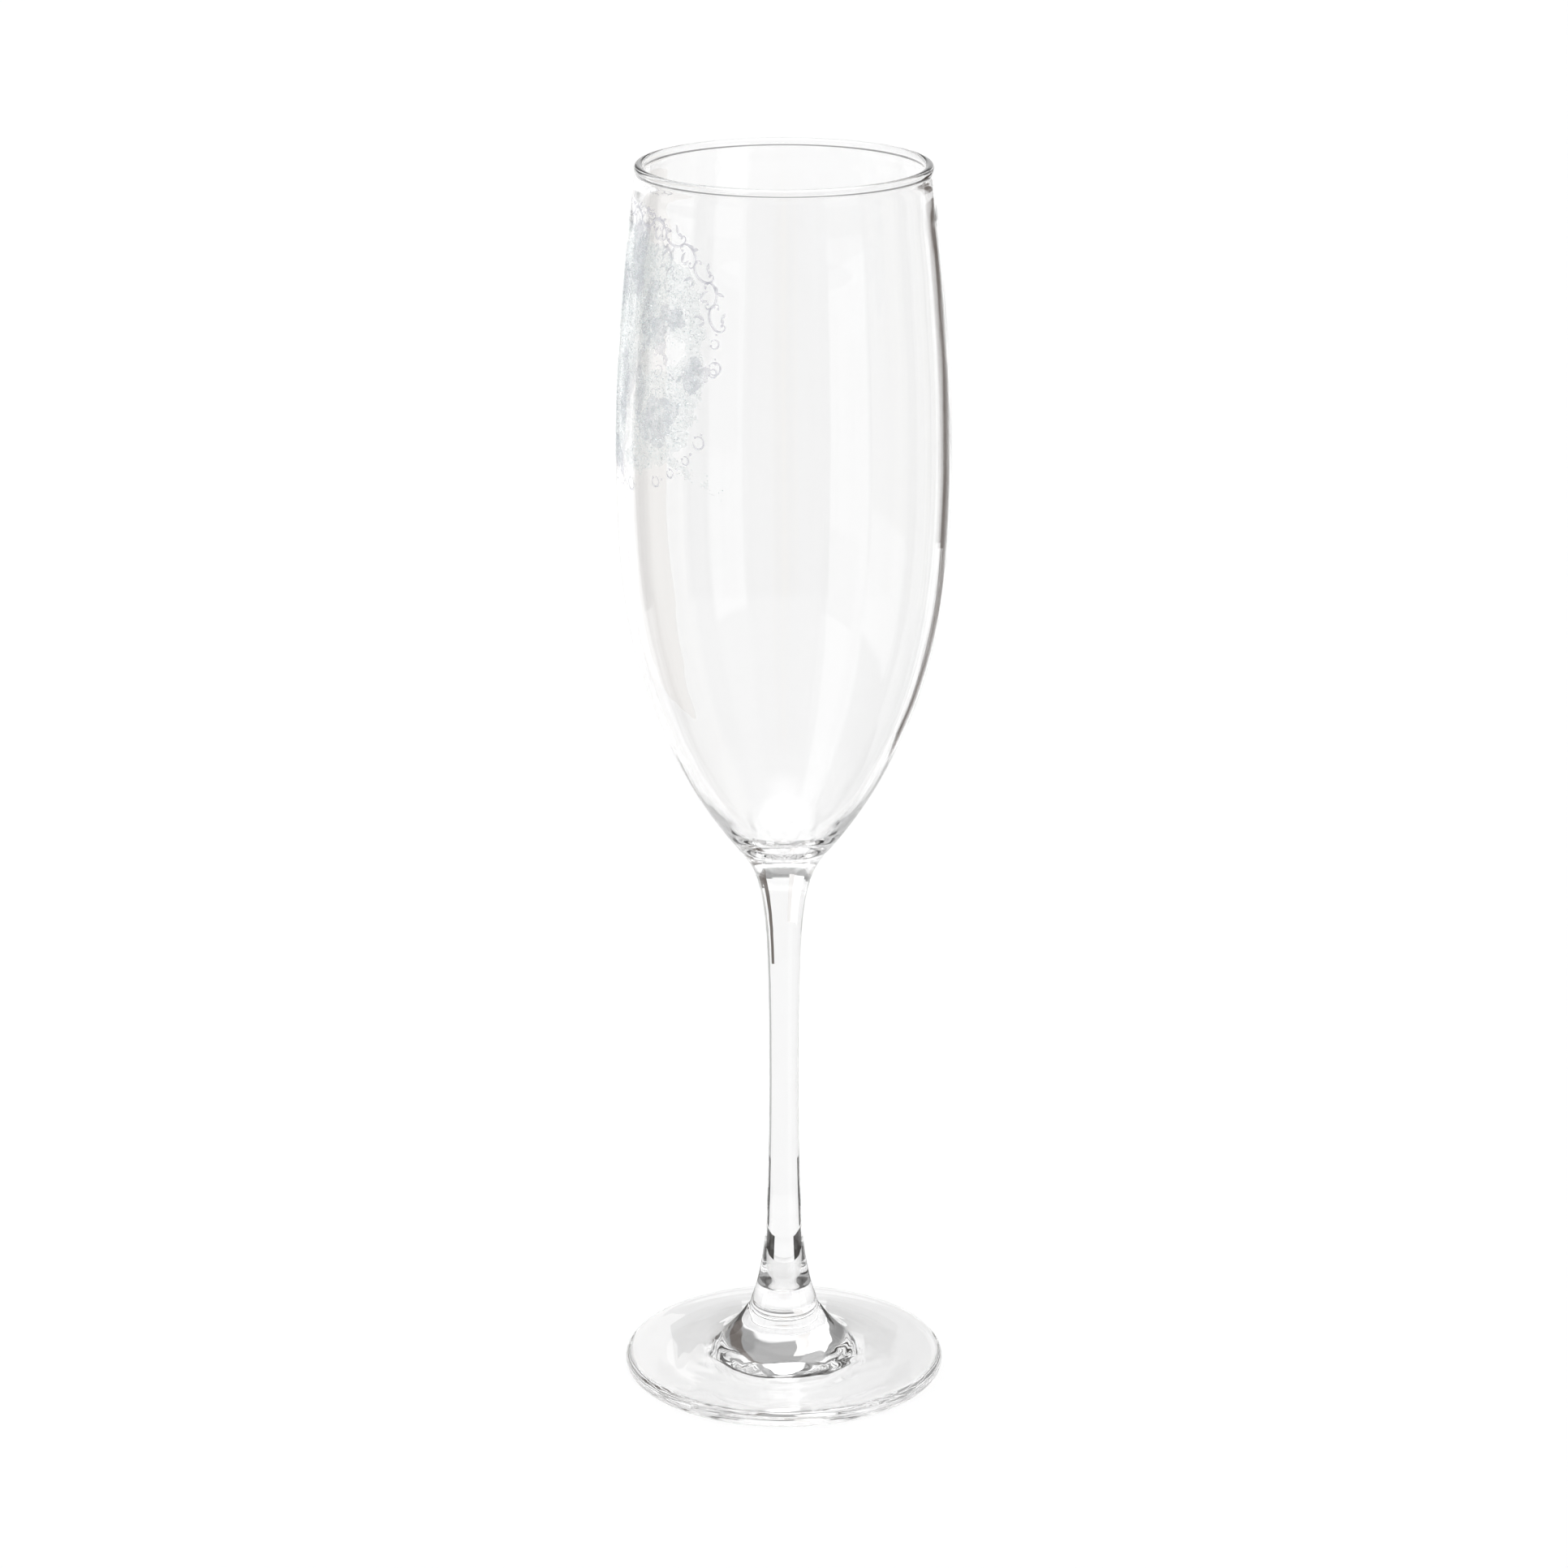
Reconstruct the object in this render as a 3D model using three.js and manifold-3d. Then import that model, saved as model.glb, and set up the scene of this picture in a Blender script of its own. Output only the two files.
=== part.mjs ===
// A champagne flute: a blown bowl, a drawn stem and a pressed foot, fused end to end,
// with a round medallion printed on one side of the bowl.
// Millimetres, +Z up. The origin is the middle of the foot's resting face.

import * as THREE from "three";
import { mergeVertices } from "three/addons/utils/BufferGeometryUtils.js";
import Module from "manifold-3d";

// ---------------------------------------------------------------- driving dimensions
const HEIGHT = 235;
const RIM_RADIUS = 27;
const BEAD_RADIUS = 0.83;
const BEAD_START = -40;
const WIDEST_RADIUS = 30.65;
const WIDEST_HEIGHT = 181;
const BOWL_BOTTOM = 105.9;
const DISH_RADIUS = 4.1;
const BOWL_SEAM_HEIGHT = 104.4;
const BOWL_SEAM_RADIUS = 7.65;
const STEM_RADIUS = 2.76;
const FOOT_SEAM_HEIGHT = 12.2;
const FOOT_SEAM_RADIUS = 6.75;
const FOOT_RADIUS = 30.7;
const FOOT_EDGE_RADIUS = 1.5;
const FOOT_REST_INNER_RADIUS = 23;
const FOOT_HOLLOW_DEPTH = 1.1;

// The printed medallion: where it sits on the bowl, and its size measured across the flat.
const PRINT_BEARING = THREE.MathUtils.degToRad(192);
const PRINT_HEIGHT = 202;
const PRINT_HALF_WIDTH = 24.6;
const PRINT_HALF_HEIGHT = 25.8;
const BORDER_WIDTH = 5.2;
const SCALLOP_COUNT = 18;
const SCALLOP_DEPTH = 0.7;
const PRINT_GAP = 0.12;
const FILM_THICKNESS = 0.15;
const SLEEVE_SPARE = 12;
const CUT_START = 8;
const CUT_DEPTH = 30;
const RING_OVERLAP = 0.4;
const GLITTER_INSET = 0.6;

// How finely the round shapes are cut into flats.
const BOWL_SIDES = 48;
const STEM_SIDES = 24;
const FOOT_SIDES = 48;
const OVAL_POINTS = 40;

// ---------------------------------------------------------------- outlines
// Each station is [radius, height]. A spline runs through them.
function splineThrough(stations, steps) {
  const points = stations.map(([radius, height]) => new THREE.Vector2(radius, height));
  return new THREE.SplineCurve(points).getPoints(steps);
}

// Part of a circle in the radius-height plane, from one angle to another, in degrees.
function roundFrom(radius, centreRadius, centreHeight, startAngle, endAngle, steps) {
  const curve = new THREE.EllipseCurve(
    centreRadius,
    centreHeight,
    radius,
    radius,
    THREE.MathUtils.degToRad(startAngle),
    THREE.MathUtils.degToRad(endAngle),
    endAngle < startAngle,
  );
  return curve.getPoints(steps);
}

// The outside of the bowl, from the fused seam up to the neck just under the rim bead.
const BOWL_OUTSIDE = splineThrough(
  [
    [BOWL_SEAM_RADIUS, BOWL_SEAM_HEIGHT],
    [12.1, 110],
    [16.7, 117],
    [20.6, 124.5],
    [24.2, 133],
    [27, 142],
    [29.1, 152.5],
    [30.3, 165],
    [WIDEST_RADIUS, WIDEST_HEIGHT],
    [30.05, 198],
    [28.75, 214.5],
    [27.55, 226.5],
    [26.84, 232.6],
  ],
  24,
);

// The inside of the bowl, from the neck down to the middle of the bottom. The wall is
// about 1.2 thick over most of its height and thickens only close to the seam. The bottom
// is a shallow dish of its own, with a soft corner where the wall rises out of it.
const BOWL_INSIDE = splineThrough(
  [
    [25.62, 232.4],
    [26.4, 226.5],
    [27.6, 214.5],
    [28.87, 198],
    [29.4, WIDEST_HEIGHT],
    [29, 165],
    [27.75, 152.5],
    [25.6, 142],
    [22.75, 133],
    [19.1, 124.5],
    [14.95, 117],
    [9.9, 110.3],
    [6.6, 107.3],
    [DISH_RADIUS, BOWL_BOTTOM + 0.25],
    [2, BOWL_BOTTOM],
    [0, BOWL_BOTTOM],
  ],
  24,
);

// The stem, from the foot's boss up to the bowl.
const STEM_SIDE = splineThrough(
  [
    [FOOT_SEAM_RADIUS, FOOT_SEAM_HEIGHT],
    [5.35, 16.5],
    [4.3, 21.5],
    [3.6, 27.5],
    [3.15, 36],
    [2.86, 48],
    [STEM_RADIUS, 61],
    [2.88, 76],
    [3.3, 88],
    [4.1, 95.3],
    [5.5, 100.7],
    [BOWL_SEAM_RADIUS, BOWL_SEAM_HEIGHT],
  ],
  24,
);

// The upper face of the foot, from the stem out to the start of the rounded edge.
const FOOT_TOP = splineThrough(
  [
    [FOOT_SEAM_RADIUS, FOOT_SEAM_HEIGHT],
    [8.95, 9.2],
    [12, 6.2],
    [15.3, 4.55],
    [19.5, 3.8],
    [24.5, 3.35],
    [FOOT_RADIUS - FOOT_EDGE_RADIUS, 2 * FOOT_EDGE_RADIUS],
  ],
  14,
);

function bowlOutline() {
  const beadCentre = RIM_RADIUS - BEAD_RADIUS;
  return [
    new THREE.Vector2(0, BOWL_SEAM_HEIGHT),
    ...BOWL_OUTSIDE,
    ...roundFrom(BEAD_RADIUS, beadCentre, HEIGHT - BEAD_RADIUS, BEAD_START, 180 - BEAD_START, 8),
    ...BOWL_INSIDE,
  ];
}

function stemOutline() {
  return [
    new THREE.Vector2(0, FOOT_SEAM_HEIGHT),
    ...STEM_SIDE,
    new THREE.Vector2(0, BOWL_SEAM_HEIGHT),
  ];
}

// The underside is hollow inside a flat ring, so that only the ring touches the table.
function footOutline() {
  const edgeCentre = FOOT_RADIUS - FOOT_EDGE_RADIUS;
  const hollow = splineThrough(
    [
      [0, FOOT_HOLLOW_DEPTH],
      [FOOT_REST_INNER_RADIUS * 0.35, FOOT_HOLLOW_DEPTH * 0.9],
      [FOOT_REST_INNER_RADIUS * 0.7, FOOT_HOLLOW_DEPTH * 0.5],
      [FOOT_REST_INNER_RADIUS, 0],
    ],
    5,
  );
  return [
    ...hollow,
    ...roundFrom(FOOT_EDGE_RADIUS, edgeCentre, FOOT_EDGE_RADIUS, -90, 90, 6).slice(0, -1),
    ...[...FOOT_TOP].reverse(),
    new THREE.Vector2(0, FOOT_SEAM_HEIGHT),
  ];
}

// ---------------------------------------------------------------- turned glass
// LatheGeometry turns a profile about Y, so the result is stood up along Z.
function turned(outline, sides) {
  return new THREE.LatheGeometry(outline, sides).rotateX(Math.PI / 2);
}

// ---------------------------------------------------------------- printed films
const wasm = await Module();
wasm.setup();

// A manifold solid from a closed three.js geometry.
function solidFrom(geometry) {
  const bare = new THREE.BufferGeometry();
  bare.setAttribute("position", geometry.attributes.position);
  bare.setIndex(geometry.index);
  const merged = mergeVertices(bare, 1e-4);
  const vertProperties = new Float32Array(merged.attributes.position.array);
  const corners = [...merged.index.array];
  const triVerts = [];
  for (let i = 0; i < corners.length; i += 3) {
    const [a, b, c] = corners.slice(i, i + 3);
    if (a !== b && b !== c && c !== a) {
      triVerts.push(a, b, c);
    }
  }
  const mesh = { numProp: 3, vertProperties, triVerts: new Uint32Array(triVerts) };
  return new wasm.Manifold(new wasm.Mesh(mesh));
}

function geometryFrom(solid) {
  const mesh = solid.getMesh();
  const geometry = new THREE.BufferGeometry();
  geometry.setAttribute("position", new THREE.BufferAttribute(mesh.vertProperties, 3));
  geometry.setIndex(new THREE.BufferAttribute(mesh.triVerts, 1));
  geometry.computeVertexNormals();
  return geometry;
}

// A thin sleeve round the bowl, parallel to its flats, a given distance off the glass.
function sleeve(offGlass) {
  const lowest = PRINT_HEIGHT - PRINT_HALF_HEIGHT - SLEEVE_SPARE;
  const covered = BOWL_OUTSIDE.filter((point) => point.y > lowest);
  const inside = covered.map((point) => new THREE.Vector2(point.x + offGlass, point.y));
  const outside = inside.map((point) => new THREE.Vector2(point.x + FILM_THICKNESS, point.y));
  return solidFrom(turned([...inside, ...outside.reverse(), inside[0]].reverse(), BOWL_SIDES));
}

// An oval drawn on the flat, with its edge waved in and out by scallops.
function oval(halfWidth, halfHeight, scallopDepth, count) {
  const points = [];
  for (let i = 0; i < count; i += 1) {
    const angle = (i / count) * 2 * Math.PI;
    const grow = scallopDepth * Math.cos(SCALLOP_COUNT * angle);
    const across = (halfWidth + grow) * Math.cos(angle);
    const up = (halfHeight + grow) * Math.sin(angle);
    points.push(new THREE.Vector2(across, up));
  }
  return points;
}

// A flat shape pushed through one side of the bowl along the medallion's bearing.
function cutter(points, hole) {
  const shape = new THREE.Shape(points);
  if (hole) {
    shape.holes.push(new THREE.Path(hole));
  }
  const geometry = new THREE.ExtrudeGeometry(shape, { depth: CUT_DEPTH, bevelEnabled: false });
  geometry.translate(0, PRINT_HEIGHT, CUT_START);
  geometry.rotateX(Math.PI / 2);
  geometry.rotateZ(PRINT_BEARING + Math.PI / 2);
  const indexed = mergeVertices(new THREE.BufferGeometry().setAttribute(
    "position",
    geometry.attributes.position,
  ));
  return solidFrom(indexed);
}

function film(offGlass, points, hole) {
  return geometryFrom(sleeve(offGlass).intersect(cutter(points, hole)));
}

const innerWidth = PRINT_HALF_WIDTH - BORDER_WIDTH;
const innerHeight = PRINT_HALF_HEIGHT - BORDER_WIDTH;
const borderFilm = film(
  PRINT_GAP,
  oval(PRINT_HALF_WIDTH, PRINT_HALF_HEIGHT, SCALLOP_DEPTH, 4 * SCALLOP_COUNT),
  oval(innerWidth + RING_OVERLAP, innerHeight + RING_OVERLAP, 0, OVAL_POINTS),
);
const groundFilm = film(PRINT_GAP, oval(innerWidth, innerHeight, 0, OVAL_POINTS));
const glitterFilm = film(
  2 * PRINT_GAP + FILM_THICKNESS,
  oval(innerWidth - GLITTER_INSET, innerHeight - GLITTER_INSET, 0, OVAL_POINTS),
);

// ---------------------------------------------------------------- materials
function glass(name) {
  return new THREE.MeshStandardMaterial({
    name,
    color: 0xf2f4f5,
    roughness: 0.02,
    metalness: 0,
    transparent: true,
    opacity: 0.35,
  });
}

function ink(name, color, roughness, metalness) {
  return new THREE.MeshStandardMaterial({ name, color, roughness, metalness });
}

// ---------------------------------------------------------------- the flute
const flute = new THREE.Group();

function addPiece(name, geometry, material) {
  const piece = new THREE.Mesh(geometry, material);
  piece.name = name;
  flute.add(piece);
}

addPiece("bowl", turned(bowlOutline(), BOWL_SIDES), glass("bowl_glass"));
addPiece("stem", turned(stemOutline(), STEM_SIDES), glass("stem_glass"));
addPiece("foot", turned(footOutline(), FOOT_SIDES), glass("foot_glass"));
addPiece("print_ground", groundFilm, ink("ground_ink", 0xd3d5db, 0.55, 0));
addPiece("print_glitter", glitterFilm, ink("glitter_coat", 0xdde6e8, 0.3, 0.4));
addPiece("scroll_border", borderFilm, ink("scroll_ink", 0xc9cad2, 0.5, 0));

export default flute;
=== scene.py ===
# %% [markdown]
# # A champagne flute, from its frame to its finish
#
# The flute is three pieces of clear glass, blown, drawn and pressed, and fused end to end,
# with a medallion printed on one side of the bowl. Its sizes are already settled in the
# frame, which this script loads and never changes. What is made here is how it looks: fine
# round surfaces in place of the flat-sided ones, glass that bends light as glass does, and
# printed ink and glitter.
#
# Everything is in metres, with +Z up, so a piece goes where the frame says.

import math
import random

import bpy
import numpy as np
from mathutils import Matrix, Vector, noise


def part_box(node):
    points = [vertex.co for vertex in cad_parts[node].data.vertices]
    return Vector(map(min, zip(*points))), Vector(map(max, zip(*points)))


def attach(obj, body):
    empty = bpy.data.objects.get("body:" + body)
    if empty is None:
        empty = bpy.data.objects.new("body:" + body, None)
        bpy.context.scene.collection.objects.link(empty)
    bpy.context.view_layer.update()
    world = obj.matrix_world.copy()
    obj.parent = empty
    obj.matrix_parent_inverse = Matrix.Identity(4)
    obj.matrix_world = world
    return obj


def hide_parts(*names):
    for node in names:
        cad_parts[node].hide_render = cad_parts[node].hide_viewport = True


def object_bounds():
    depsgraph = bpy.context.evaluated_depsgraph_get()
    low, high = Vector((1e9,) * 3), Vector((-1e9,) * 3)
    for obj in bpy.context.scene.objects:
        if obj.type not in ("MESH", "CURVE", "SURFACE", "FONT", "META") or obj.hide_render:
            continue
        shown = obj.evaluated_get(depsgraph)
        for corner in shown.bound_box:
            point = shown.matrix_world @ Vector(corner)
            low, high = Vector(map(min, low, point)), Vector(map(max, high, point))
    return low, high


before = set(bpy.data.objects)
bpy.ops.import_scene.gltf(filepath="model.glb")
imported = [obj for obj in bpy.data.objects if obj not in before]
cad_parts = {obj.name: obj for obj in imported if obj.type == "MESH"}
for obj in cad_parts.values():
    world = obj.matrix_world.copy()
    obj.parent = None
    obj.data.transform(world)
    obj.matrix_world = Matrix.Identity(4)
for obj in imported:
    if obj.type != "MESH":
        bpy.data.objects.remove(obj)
cad_low, cad_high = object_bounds()
MM = 0.001
flute_height = cad_high.z
print(f"the flute is {flute_height / MM:.1f} mm tall")

# %% [markdown]
# ## The camera
#
# A tall, thin thing is best seen through a long lens from a little above. The far camera
# keeps the glass's sides nearly parallel, and the height shows the rim and the foot as
# ovals. The lens points down at a fixed angle, with no shift, so that moving it round the
# flute later changes nothing else.

# %% Camera
CAMERA_DISTANCE = 0.840
CAMERA_HEIGHT = 0.3867
CAMERA_PITCH = math.radians(17.743)

camera_data = bpy.data.cameras.new("long_lens")
camera_data.lens = 108.26
camera_data.sensor_width = 36
camera = bpy.data.objects.new("camera", camera_data)
camera.location = (0, -CAMERA_DISTANCE, CAMERA_HEIGHT)
camera.rotation_euler = (math.pi / 2 - CAMERA_PITCH, 0, 0)
bpy.context.scene.collection.objects.link(camera)
bpy.context.scene.camera = camera

# %% [markdown]
# ## One outline for the whole glass
#
# A blown and turned shape is known by its outline, the line that is spun round the axis.
# The frame's pieces carry theirs as the row of corner points on their +X side. Here that
# row is walked from point to point along the mesh's edges, once for each piece. The three
# rows join end to end at the fused seams. A curve fitted through all of them at once has
# no kink where two pieces meet, as in the real glass, where the seam has melted smooth.

# %% Walk the outline of a frame piece
def meridian_chain(node):
    """The outline points (radius, height) of a turned piece, in order from the axis."""
    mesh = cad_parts[node].data
    keys = [tuple(round(x / MM, 3) for x in v.co) for v in mesh.vertices]
    on_side = {k for k in keys if k[1] == 0 and k[0] >= 0}
    neighbours = {k: set() for k in on_side}
    for edge in mesh.edges:
        a, b = (keys[i] for i in edge.vertices)
        if a != b and a in on_side and b in on_side:
            neighbours[a].add(b)
            neighbours[b].add(a)
    ends = sorted((k for k in on_side if k[0] == 0), key=lambda k: k[2])
    chain = [ends[0]]
    while len(chain) < len(on_side):
        onward = [k for k in neighbours[chain[-1]] if k not in chain]
        chain.append(onward[0])
    return [(k[0] * MM, k[2] * MM) for k in chain]


foot_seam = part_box("stem")[0].z
bowl_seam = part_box("stem")[1].z
foot_chain = meridian_chain("foot")[:-1]
stem_chain = meridian_chain("stem")[1:-1]
bowl_chain = meridian_chain("bowl")[1:]
whole_chain = np.array(foot_chain + stem_chain[1:] + bowl_chain[1:])
print(f"outline points: {len(foot_chain)} foot, {len(stem_chain)} stem, {len(bowl_chain)} bowl")

# %% [markdown]
# ## A curve through the outline
#
# Glass shows every unevenness of its outline, because it bends light by the slope of its
# surface. A natural cubic spline has no jump in slope or in curvature, so it gives clean
# reflections. Its parameter is the distance walked along the corner points. At both ends
# the outline meets the axis, so it is continued by its mirror image past the axis, which
# makes the surface level there.

# %% Natural cubic spline
def natural_spline(along, values, wanted):
    """A curve with continuous curvature through values at along, read at wanted."""
    step = np.diff(along)
    size = len(along)
    system = np.zeros((size, size))
    system[0, 0] = system[-1, -1] = 1
    right = np.zeros(size)
    slopes = np.diff(values) / step
    for i in range(1, size - 1):
        system[i, i - 1:i + 2] = step[i - 1], 2 * (step[i - 1] + step[i]), step[i]
        right[i] = 6 * (slopes[i] - slopes[i - 1])
    bend = np.linalg.solve(system, right)
    place = np.clip(np.searchsorted(along, wanted, side="right") - 1, 0, size - 2)
    gap = step[place]
    before = (along[place + 1] - wanted) / gap
    after = 1 - before
    curve = before * values[place] + after * values[place + 1]
    curve += (before ** 3 - before) * bend[place] * gap ** 2 / 6
    curve += (after ** 3 - after) * bend[place + 1] * gap ** 2 / 6
    return curve


def mirrored(points):
    """The same outline points on the other side of the axis."""
    return points * np.array((-1, 1))


MIRRORED_POINTS = 3
chain = np.vstack((
    mirrored(whole_chain[MIRRORED_POINTS:0:-1]),
    whole_chain,
    mirrored(whole_chain[-2:-2 - MIRRORED_POINTS:-1]),
))
walked = np.concatenate(([0], np.cumsum(np.linalg.norm(np.diff(chain, axis=0), axis=1))))
FINEST_STEP = 0.16 * MM
COARSEST_PARTS = 5


def fine_outline(first, last):
    """Points of the curve between two corner points of the whole outline."""
    wanted = []
    for i in range(first + MIRRORED_POINTS, last + MIRRORED_POINTS):
        parts = int(np.clip((walked[i + 1] - walked[i]) / FINEST_STEP, 1, COARSEST_PARTS))
        wanted.extend(np.linspace(walked[i], walked[i + 1], parts, endpoint=False))
    wanted.append(walked[last + MIRRORED_POINTS])
    wanted = np.array(wanted)
    radii = natural_spline(walked, chain[:, 0], wanted)
    heights = natural_spline(walked, chain[:, 1], wanted)
    return np.column_stack((np.maximum(radii, 0), np.maximum(heights, 0)))


foot_end = len(foot_chain) - 1
stem_end = foot_end + len(stem_chain) - 1
foot_outline = fine_outline(0, foot_end)
stem_outline = fine_outline(foot_end, stem_end)
bowl_outline = fine_outline(stem_end, len(whole_chain) - 1)
print(f"fine outline points: {len(foot_outline)}, {len(stem_outline)}, {len(bowl_outline)}")

# %% [markdown]
# ## Spinning the outline into glass
#
# The curve is spun round the axis in 256 steps, so that no flat can be seen in the
# silhouette. Where two pieces meet, each is closed by a disc. The real glass has no surface
# there, so the discs get a material of their own that lets light straight through. Their
# rims are marked sharp, so that the smooth shading of the wall doesn't lean into the disc.

# %% Spin a closed glass solid
SIDES = 256
WALL, SEAM = 0, 1
ON_AXIS = 1e-7


def new_piece(name, points, faces, smooth=True):
    """A new object, from its corner points and its faces."""
    mesh = bpy.data.meshes.new(name)
    mesh.from_pydata(points, [], faces)
    mesh.polygons.foreach_set("use_smooth", [smooth] * len(faces))
    mesh.validate()
    piece = bpy.data.objects.new(name, mesh)
    bpy.context.scene.collection.objects.link(piece)
    print(f"{name}: {len(faces)} faces")
    return piece


def turned_ring(points, radius, height, ripple):
    """Turn one outline point round the axis, and say which of the points it became."""
    start = len(points)
    if radius < ON_AXIS:
        points.append((0, 0, height))
        return [start] * SIDES
    for i in range(SIDES):
        angle = i * 2 * math.pi / SIDES
        outward, upward = ripple(radius / MM, height / MM, angle)
        reach, level = radius + outward * MM, height + upward * MM
        points.append((reach * math.cos(angle), reach * math.sin(angle), level))
    return list(range(start, start + SIDES))


def spin(name, outline, seam_start, seam_end, ripple):
    """A closed solid of revolution. A seam end is closed by a disc on its own material slot."""
    points, faces = [], []
    rings = [turned_ring(points, radius, height, ripple) for radius, height in outline]
    for low, high in zip(rings, rings[1:]):
        for i in range(SIDES):
            j = (i + 1) % SIDES
            faces.append(list(dict.fromkeys((low[i], low[j], high[j], high[i]))))
    slots = [WALL] * len(faces)
    discs = [(rings[0], True)] if seam_start else []
    discs += [(rings[-1], False)] if seam_end else []
    for ring, downward in discs:
        middle = len(points)
        points.append((0, 0, points[ring[0]][2]))
        for i in range(SIDES):
            j = (i + 1) % SIDES
            faces.append((middle, ring[j], ring[i]) if downward else (middle, ring[i], ring[j]))
            slots.append(SEAM)
    piece = new_piece(name, points, faces)
    piece.data.polygons.foreach_set("material_index", slots)
    around = {frozenset((ring[i], ring[(i + 1) % SIDES])) for ring, _ in discs for i in range(SIDES)}
    for edge in piece.data.edges:
        edge.use_edge_sharp = frozenset(edge.vertices) in around
    return piece


# %% [markdown]
# ## The marks of making
#
# A perfect surface of revolution looks like plastic. Blown glass keeps faint draw lines
# that run from the foot of the bowl to its rim, a drawn stem has shallow rings where the
# tongs steadied it, and a pressed foot has chill ripples round its boss. All are about a
# tenth of a millimetre high at most, yet they are what makes the reflections waver. Each is
# a sum of a few waves, and fades out at the rim and at the fused seams, so that the pieces
# still meet exactly. Sizes in this cell are in millimetres.

# %% Draw lines, tong rings and chill ripples
DRAW_COUNTS = (3, 7, 11, 17, 26, 41, 57)
DRAW_HEIGHT = 0.075
DRAW_LEAN = 0.012
DRAW_FALL_OFF = 1.25
INSIDE_SHARE = 0.7
RIM_CLEAR = 6
TONG_HEIGHT = 0.012
LOWER_SHARE = 0.3
UPPER_STEM = 45
UPPER_REACH = 40
CHILL_COUNTS = (2, 3, 5, 8)
CHILL_HEIGHT = 0.022
CHILL_PITCH = 1.9
FOOT_TOP = 2.6
BOSS_TOP = 6
BOSS_EDGE = 14
FOOT_EDGE = 2
FADE = 5
waves = random.Random(5)
DRAW_WAVES = [
    (n, waves.uniform(0, 2 * math.pi), waves.uniform(-DRAW_LEAN, DRAW_LEAN)) for n in DRAW_COUNTS
]
CHILL_WAVES = [(n, waves.uniform(0, 2 * math.pi)) for n in CHILL_COUNTS]


def fade(distance, reach):
    """0 at the start of a stretch and 1 after its reach, with a soft slope."""
    share = min(max(distance / reach, 0), 1)
    return share * share * (3 - 2 * share)


def wall_middle(height):
    """The radius half-way through the bowl's wall."""
    top = bowl_outline[:, 1].argmax()
    outer = np.interp(height * MM, bowl_outline[:top, 1], bowl_outline[:top, 0])
    inner = np.interp(height * MM, bowl_outline[:top:-1, 1], bowl_outline[:top:-1, 0])
    return (outer + inner) / 2 / MM


def bowl_ripple(radius, height, angle):
    """Draw lines: how far a point of the bowl is moved outward and upward."""
    strength = fade(height - bowl_seam / MM - 1, 3 * FADE)
    strength *= fade(flute_height / MM - RIM_CLEAR - height, 2 * FADE)
    side = 1 if radius > wall_middle(height) else INSIDE_SHARE
    lines = sum(
        math.sin(n * angle + start + lean * n * height) / n ** DRAW_FALL_OFF
        for n, start, lean in DRAW_WAVES
    )
    return side * strength * DRAW_HEIGHT * lines, 0


def stem_ripple(radius, height, angle):
    """Tong rings, which are stronger up the stem."""
    strength = fade(height - foot_seam / MM - 2, FADE) * fade(bowl_seam / MM - 1 - height, FADE)
    upper = fade(height - UPPER_STEM, UPPER_REACH)
    rings = math.sin(4.1 * height + 0.8 * math.sin(angle)) + 0.8 * math.sin(1.7 * height + 2 * angle)
    return strength * (LOWER_SHARE + (1 - LOWER_SHARE) * upper) * TONG_HEIGHT * rings, 0


def foot_ripple(radius, height, angle):
    """Chill ripples on the top of the foot, which are stronger near its boss."""
    on_top = fade(height - FOOT_TOP, 0.8)
    strength = on_top * fade(radius - BOSS_TOP, FADE)
    strength *= fade(foot_radius - FOOT_EDGE - radius, 2 * FADE)
    wander = sum(math.sin(n * angle + start) for n, start in CHILL_WAVES)
    near_boss = 1.6 - fade(radius - BOSS_EDGE, 12)
    return 0, near_boss * strength * CHILL_HEIGHT * (math.sin(CHILL_PITCH * radius + wander) + 0.6 * wander)


foot_radius = foot_outline[:, 0].max() / MM
foot_glass = spin("foot_glass", foot_outline, False, True, foot_ripple)
stem_glass = spin("stem_glass", stem_outline, True, True, stem_ripple)
bowl_glass = spin("bowl_glass", bowl_outline, True, False, bowl_ripple)

# %% [markdown]
# ## Clear glass
#
# Glass is a smooth surface that mirrors a little and bends the rest of the light into the
# solid behind it, so it is a Principled shader with full Transmission and the refractive
# index of soda-lime glass. A path tracer finds few of the paths by which lamps shine
# through glass on to a table. So the rays that light other things, shadow rays and diffuse
# bounces, get a lightly tinted Transparent shader instead, and the table under the foot
# stays as bright as it is under real glass, with a faint shadow.

# %% Glass material
GLASS_INDEX = 1.52
SHADOW_TINT = 0.985


def number_socket(group, name, in_out, value=None):
    """A number going into a node group or coming out of it."""
    socket = group.interface.new_socket(name, in_out=in_out, socket_type="NodeSocketFloat")
    if value is not None:
        socket.default_value = value


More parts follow.
